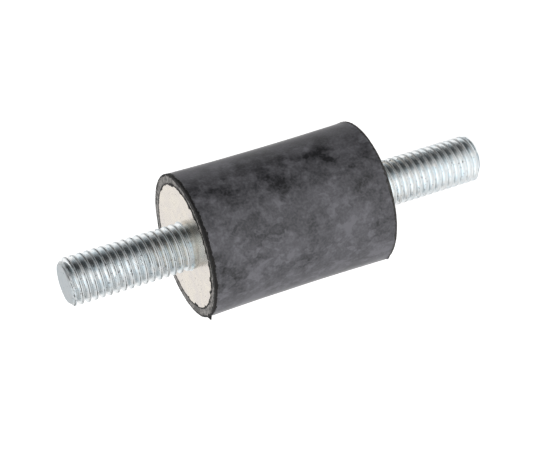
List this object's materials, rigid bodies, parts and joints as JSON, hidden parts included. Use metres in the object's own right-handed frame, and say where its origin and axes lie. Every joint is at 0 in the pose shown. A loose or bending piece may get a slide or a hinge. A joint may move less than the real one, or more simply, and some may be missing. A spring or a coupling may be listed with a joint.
{
  "type": "bobbin vibration mount",
  "caption": "Cylindrical rubber vibration mount bonded to a steel plate at each end, with a threaded stud standing out of each plate.",
  "frame": {"origin": "centre of the lower seating face, where the lower stud leaves its plate", "axes": "+Z along both studs, from the lower seating face to the upper one; the mould's parting line runs down the rubber at +X and -X, and its torn flash tabs are on the -X side"},
  "size_m": [0.0304, 0.0298, 0.0908],
  "materials": {
    "rubber": "matte",
    "plate_steel": "satin",
    "stud_steel": "satin"
  },
  "bodies": {
    "root": {"rubber_body": "rubber", "upper_plate": "plate_steel", "lower_plate": "plate_steel", "upper_stud": "stud_steel", "lower_stud": "stud_steel"}
  },
  "joints": []
}
